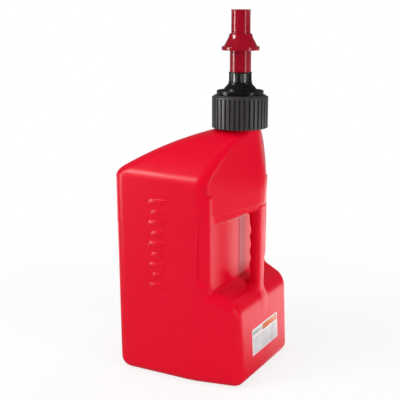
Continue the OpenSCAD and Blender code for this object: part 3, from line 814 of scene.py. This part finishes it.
def labelPoint(u, v, w):
    # u across, v up the face, w out of it
    lean = math.atan2(tank["footLean"], tank["footLeanZ"] - tank["baseRounding"])
    up = v + label["lowZ"] - tank["baseRounding"]
    return (toeX - up * math.sin(lean) + w * math.cos(lean), u,
            tank["baseRounding"] + up * math.cos(lean) + w * math.sin(lean))


def labelBlock(name, lowU, highU, lowV, highV, corner, lowW, highW):
    corners = [(lowU, lowV, corner), (highU, lowV, corner), (highU, highV, corner), (lowU, highV, corner)]
    return prism(name, [(p.x, p.y) for p in roundedOutline(corners)], lowW, highW, labelPoint)


def makeLabel():
    wide, tall, thick = label["width"] / 2, label["height"], label["thick"]
    top, margin = thick + label["print"], label["margin"]
    plate = labelBlock("labelPlate", -wide, wide, 0, tall, label["corner"], 0, thick)
    dress(plate, labelFilm, "tank", "front_label")
    headerLow = wide - label["headerShare"] * label["width"]
    header = labelBlock("labelHeader", headerLow, wide - margin, tall - margin - label["headerHeight"],
                        tall - margin, 0.6, thick - 0.1, top)
    dress(header, headerOrange, "tank")
    bar = labelBlock("labelTitleBar", -wide + margin, headerLow - margin, tall - margin - 8,
                     tall - margin - 2, 0.6, thick - 0.1, top)
    dress(bar, printGrey, "tank")
    column = (2 * wide - margin) / label["columns"]
    for k in range(label["columns"]):
        low = -wide + margin + k * column
        rule = labelBlock("rule", low, low + column - margin, margin, margin + label["ruleHeight"], 0.3,
                          thick - 0.1, top)
        step = Vector(labelPoint(0, label["ruleStep"], 0)) - Vector(labelPoint(0, 0, 0))
        rules = grown("labelRules", copiesInRow, {"Shape": rule, "Count": label["ruleCount"],
                                                  "Step": tuple(step * mm), "Material": printGrey})
        dress(rules, printGrey, "tank")


makeLabel()
print("label made")


# ribbed screw collar

collar = {
    "bore": 40.6, "lipBore": 38, "lipUnderZ": collarHigh[2] - 6.7, "shoulderZ": collarHigh[2] - 3,
    "ribs": 36, "grooveDepth": 3, "grooveWidth": 3.3, "rootWidth": 2.0, "chamfer": 0.45,
    "threadCrest": 38.1, "threadZ": rimZ - 20,
}


def makeCollar():
    low, top, shoulder = collarLow[2], collarHigh[2], collar["shoulderZ"]
    radius = (collarHigh[0] - collarLow[0]) / 2
    ring = turned("ribbedCollar", [
        (collar["bore"], low, 0.5), (radius, low, 1), (radius, shoulder, 2.2), (radius - 3, shoulder, 0.8),
        (radius - 5, top - 0.4, 0.8), (radius - 7, top, 0.6), (collar["lipBore"], top, 0.5),
        (collar["lipBore"], collar["lipUnderZ"], 0.4), (collar["bore"], collar["lipUnderZ"], 0.4)], 180)
    half, root, edge = collar["grooveWidth"] / 2, collar["rootWidth"] / 2, collar["chamfer"]
    floor = radius - collar["grooveDepth"]
    halfGroove = [(floor, root - 0.4), (floor + 0.4, root), (radius - edge, half),
                  (radius + 0.8, half + 2 * edge)]
    grooveOutline = [(u, -v) for u, v in halfGroove] + halfGroove[::-1]
    endZ = shoulder - 4.5

    def grooveShape(u, v, w):
        return (u, v, low - 2 if w == 0 else endZ + (u - floor) * 0.8)      # the top end slopes out
    groove = prism("groove", grooveOutline, 0, 1, grooveShape)
    grooves = grown("grooves", copiesRoundAxis, {
        "Shape": groove, "Count": collar["ribs"], "First Angle": math.pi / collar["ribs"],
        "Axis X": spoutX * mm, "Material": blackSatin})
    solidStep(ring, grooves, "DIFFERENCE")
    innerThread = threadRidge("collarThread", collar["bore"], collar["threadCrest"], collar["threadZ"])
    solidStep(ring, innerThread, "UNION")
    smoothTo(ring, 32)
    dress(ring, blackSatin, "collar", "collar_nut")


makeCollar()
print("collar made")


# spout body: disc, cone and the windowed cage

cage = {
    "windows": 6, "postWidth": 3.8, "ring": 2, "corner": 5, "height": 20,
    "firstPost": math.radians(-72), "innerRadius": 19.3, "radius": 20.9,
}


def makeSpoutBody():
    low, top = spoutLow[2], spoutHigh[2]
    disc = (spoutHigh[0] - spoutLow[0]) / 2
    cageZ, discZ = top - cage["height"], low + 9
    inner, outer = cage["innerRadius"], cage["radius"]
    body = turned("spoutBody", [
        (17.2, low + 4, 0), (20.6, low + 4, 0), (20.6, low, 0), (37.6, low, 0.3), (37.6, discZ - 1.7, 0.4),
        (disc - 2, discZ - 1.7, 0.4), (disc - 2, discZ, 0.2), (disc, discZ, 0.5), (disc, discZ + 5.5, 1.3),
        (disc - 2.6, discZ + 5.5, 0.5), (disc - 3, discZ + 3.5, 0.6), (30.4, discZ + 3.5, 0.8),
        (29.2, discZ + 8.6, 1.6), (outer + 0.4, cageZ - 0.6, 2.4), (outer, top, 0.5), (inner, top, 0.3),
        (inner, cageZ + 0.5, 0), (17.2, cageZ + 0.5, 0)])
    pitch = 2 * math.pi / cage["windows"]
    half = outer * math.sin(pitch / 2) - cage["postWidth"] / 2
    lowZ, highZ = cageZ + cage["ring"], top - cage["ring"]
    window = roundedOutline([(-half, lowZ, cage["corner"]), (half, lowZ, cage["corner"]),
                             (half, highZ, 0.8), (-half, highZ, 0.8)], 0.2)
    cutter = prism("window", [(p.x, p.y) for p in window], inner - 4, outer + 6, lambda u, v, w: (w, u, v))
    windows = grown("windows", copiesRoundAxis, {
        "Shape": cutter, "Count": cage["windows"], "First Angle": cage["firstPost"] + pitch / 2,
        "Axis X": spoutX * mm, "Material": blackSatin})
    solidStep(body, windows, "DIFFERENCE")
    smoothTo(body, 35)
    dress(body, blackMoulded, "spout", "spout_body")


makeSpoutBody()
print("spout body made")


# barrel that the sleeve slides on

barrel = {
    "radius": 17.1, "bore": 14.9, "flow": 13.5, "foot": 4, "ledge": 24, "seal": 5.5,
    "groove": 0.92, "grooveRadius": 15.88,
}


def makeBarrel():
    low, top = barrelLow[2], barrelHigh[2]
    foot, footZ, ledgeZ = (barrelHigh[0] - barrelLow[0]) / 2, low + barrel["foot"], low + barrel["ledge"]
    sealZ = top - barrel["seal"]
    grooveLow, grooveTop = sealZ - barrel["groove"], sealZ + barrel["groove"]
    outside, grooveRadius, bore, flow = [barrel[k] for k in ("radius", "grooveRadius", "bore", "flow")]
    piece = turned("innerBarrel", [
        (flow, low, 0), (foot, low, 0), (foot, footZ, 0.3), (outside, footZ, 0), (outside, grooveLow, 0),
        (grooveRadius, grooveLow, 0), (grooveRadius, grooveTop, 0), (outside, grooveTop, 0),
        (outside, top, 1), (bore, top, 0.4), (bore, ledgeZ, 0), (flow, ledgeZ, 0)])
    dress(piece, blackGloss, "spout", "inner_barrel")


makeBarrel()
print("barrel made")


# push sleeve: skirt, flange, hub and nozzle in one turned piece

sleeve = {
    "bore": 17.18, "radius": 19, "skirt": 38, "rim": 8, "cone": 14, "hub": 8, "nozzle": 17,
    "mouth": 15.2, "seatDrop": 12.6, "nozzleBore": 14.6, "lip": 0.4,
}


def makeSleeve():
    low, top = sleeveLow[2], sleeveHigh[2]
    flange = (sleeveHigh[0] - sleeveLow[0]) / 2
    flangeZ = low + sleeve["skirt"]
    rimTop = flangeZ + sleeve["rim"]
    hubZ = rimTop + sleeve["cone"]
    nozzleZ, seatZ = hubZ + sleeve["hub"], top - sleeve["seatDrop"]
    tube, nozzle, bore = sleeve["radius"], sleeve["nozzle"], sleeve["nozzleBore"]
    lip, mouth = nozzle + sleeve["lip"], sleeve["mouth"]
    piece = turned("pushSleeve", [
        (sleeve["bore"], low, 0.2), (tube, low, 0.5), (tube, flangeZ + 2.6, 1.2),
        (flange - 2.8, flangeZ + 3.4, 0.6),
        (flange - 2.6, flangeZ, 0.5), (flange, flangeZ, 1.1), (flange, rimTop - 1, 1.3),
        (flange - 3.9, rimTop - 0.4, 1.2), (tube + 3.2, hubZ - 0.6, 5), (tube + 1.3, nozzleZ - 3, 2),
        (tube + 1.3, nozzleZ - 0.9, 0.6), (nozzle, nozzleZ - 0.2, 0.5), (nozzle, top - 2.2, 0.3),
        (lip, top - 1.6, 0.3), (lip, top, 0.6), (mouth, top, 0.4),
        (mouth, seatZ, 0.2), (bore - 2, seatZ, 0.2), (bore - 2, seatZ - 2, 0.2), (bore, seatZ - 4, 0.4),
        (bore, hubZ + 0.5, 0), (sleeve["bore"], hubZ + 0.5, 0)])
    dress(piece, spoutRed, "sleeve", "sliding_sleeve")


makeSleeve()
print("sleeve made")


# return spring

spring = {"wire": 1.1, "turns": 8, "flat": 0.75, "stepsPerTurn": 28, "travel": 18}


def makeSpring():
    low, high, wire = springLow[2], springHigh[2], spring["wire"]
    coil = grown("returnSpring", compressionCoil, {
        "Coil Radius": ((springHigh[0] - springLow[0]) / 2 - wire) * mm, "Wire Radius": wire * mm,
        "Low Z": (low + wire) * mm, "High Z": (high - wire) * mm,
        "Turns": float(spring["turns"]), "Flat Turns": spring["flat"],
        "Steps Per Turn": spring["stepsPerTurn"], "Axis X": spoutX * mm, "Material": steel})
    dress(coil, steel, "spout", "return_spring")
    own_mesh(coil)


makeSpring()
print("spring made")


# CAD pieces that keep their own shape

keptPieces = {
    "neck_gasket": rubber, "base_flange": blackSatin, "flange_screws": steel, "foot_oring": rubber,
    "slide_oring": rubber, "spring_seat": steel, "stem_spider": blackSatin, "vent_stem": blackSatin,
    "stem_nut": steel, "valve_plug": blackMoulded, "plug_seal": rubber, "plug_oring": rubber,
    "breather_tube": hose, "tube_clip": steel,
}


def dressKeptPieces():
    for name, material in keptPieces.items():
        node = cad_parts[name]
        if not node.material_slots:
            node.data.materials.append(material)
        for slot in node.material_slots:
            slot.material = material


dressKeptPieces()


# camera and studio

view = {"place": (724.7, -1352.4, 664.8), "heading": 28.65, "down": 12.85, "lens": 74.97}


def placeCamera():
    camera = bpy.data.objects.new("camera", bpy.data.cameras.new("camera"))
    collection.objects.link(camera)
    scene.camera = camera
    camera.data.lens = view["lens"]
    camera.data.sensor_width = 36
    camera.data.clip_start = 0.05
    camera.location = Vector(view["place"]) * mm
    camera.rotation_euler = (math.radians(90 - view["down"]), 0, math.radians(view["heading"]))


def softbox(name, seenBy, azimuth, elevation, distance, size, power, height=0.3):
    # a rectangle of light that faces the can; azimuth 0 is on the -Y side, positive towards +X
    light = bpy.data.lights.new(name, "AREA")
    light.shape = "RECTANGLE"
    light.size, light.size_y = size
    light.energy = power
    lamp = bpy.data.objects.new(name, light)
    collection.objects.link(lamp)
    a, e = math.radians(azimuth), math.radians(elevation)
    target = Vector((0, 0, height))
    direction = Vector((math.sin(a) * math.cos(e), -math.cos(a) * math.cos(e), math.sin(e)))
    lamp.location = target + distance * direction
    lamp.rotation_euler = (target - lamp.location).to_track_quat("-Z", "Y").to_euler()
    lamp.visible_glossy = seenBy == "gloss"
    lamp.visible_diffuse = seenBy != "gloss"


# lamps: seen by, azimuth, elevation, distance, size, power
# a "gloss" lamp only shows as a streak on shiny surfaces, a "colour" lamp only lights them
studio = {
    "leftBox": ("colour", -40, 30, 2.4, (0.9, 1.3), 26),
    "topBox": ("colour", -30, 74, 2.2, (0.8, 1.4), 13),
    "rightStrip": ("colour", 75, 12, 2.3, (0.35, 1.6), 22),
    "backBox": ("colour", 165, 35, 2.6, (1.4, 1.4), 12),
    "eavesGloss": ("gloss", -44, 37, 2.3, (0.7, 0.5), 36),
    "leftGloss": ("gloss", -53, 2, 1.5, (0.4, 1.0), 17),
    "rightGloss": ("gloss", 84, 2, 1.5, (0.24, 1.0), 5),
}


backdrop = {
    "fill": 0.42,                      # soft light from all round
    "roomInMirror": 0.15,              # brightness of the room in a shiny surface
    "floorInMirror": 0.12,
    "floorBehind": 3,                  # the floor just behind the can, in a shiny surface
    "behindFrom": (-0.05, 0.3),        # metres along Y over which it grows bright
    "behindReach": (1.6, 2.2),         # metres from the can over which it fades
    "plainShare": 0.8,                 # near the can; the rest of the floor's look is its shadow
    "shadowReach": (0.25, 1.2),
}


def seenWhite(tree, mirrored):
    # white for the camera and through clear plastic; a mirror sees the given brightness
    paths = tree.nodes.new("ShaderNodeLightPath")
    seen = mathNode(tree, "MAXIMUM", paths.outputs["Is Camera Ray"], paths.outputs["Is Transmission Ray"])
    mirror = mathNode(tree, "MULTIPLY", paths.outputs["Is Glossy Ray"], mirrored)
    return mathNode(tree, "MAXIMUM", seen, mirror), paths


def rising(tree, value, start, end, low, high):
    # goes smoothly from low to high as the value goes from start to end
    node = tree.nodes.new("ShaderNodeMapRange")
    node.interpolation_type = "SMOOTHSTEP"
    node.inputs["From Min"].default_value = start
    node.inputs["From Max"].default_value = end
    node.inputs["To Min"].default_value = low
    node.inputs["To Max"].default_value = high
    tree.links.new(value, node.inputs["Value"])
    return node.outputs["Result"]


def whiteWorld():
    world = bpy.data.worlds.new("world")
    scene.world = world
    world.use_nodes = True
    tree = world.node_tree
    seen, paths = seenWhite(tree, backdrop["roomInMirror"])
    background = tree.nodes["Background"]
    background.inputs["Color"].default_value = (1, 1, 1, 1)
    fill = mathNode(tree, "MULTIPLY", paths.outputs["Is Diffuse Ray"], backdrop["fill"])
    tree.links.new(mathNode(tree, "MAXIMUM", seen, fill), background.inputs["Strength"])


def paleFloor():
    floor = addMesh("floor", [(-30, -30, 0), (30, -30, 0), (30, 30, 0), (-30, 30, 0)], [(0, 1, 2, 3)])
    material, shader = newMaterial("paleFloor", (0.9, 0.9, 0.9), 0.9, 0.05)
    tree = material.node_tree
    place = tree.nodes.new("ShaderNodeTexCoord").outputs["Object"]
    axes = tree.nodes.new("ShaderNodeSeparateXYZ")
    tree.links.new(place, axes.inputs[0])
    distance = tree.nodes.new("ShaderNodeVectorMath")
    distance.operation = "LENGTH"
    tree.links.new(place, distance.inputs[0])
    behind = rising(tree, axes.outputs["Y"], *backdrop["behindFrom"], 0, backdrop["floorBehind"])
    near = rising(tree, distance.outputs["Value"], *backdrop["behindReach"], 1, 0.1)
    seen, paths = seenWhite(tree, mathNode(tree, "MULTIPLY_ADD", behind, near, backdrop["floorInMirror"]))
    # the shadow shows near the can, further off the floor is as white as the background
    share = rising(tree, distance.outputs["Value"], *backdrop["shadowReach"], backdrop["plainShare"], 1)
    glow = tree.nodes.new("ShaderNodeEmission")
    tree.links.new(seen, glow.inputs["Strength"])
    looked = mathNode(tree, "MAXIMUM", paths.outputs["Is Camera Ray"], paths.outputs["Is Glossy Ray"])
    looked = mathNode(tree, "MAXIMUM", looked, paths.outputs["Is Transmission Ray"])
    mix = tree.nodes.new("ShaderNodeMixShader")
    tree.links.new(mathNode(tree, "MULTIPLY", looked, share), mix.inputs["Fac"])
    tree.links.new(shader.outputs[0], mix.inputs[1])
    tree.links.new(glow.outputs[0], mix.inputs[2])
    tree.links.new(mix.outputs[0], tree.nodes["Material Output"].inputs["Surface"])
    floor.data.materials.append(material)


placeCamera()
for name, settings in studio.items():
    softbox(name, *settings)
whiteWorld()
paleFloor()
scene.view_settings.view_transform = "Standard"
print("studio made")
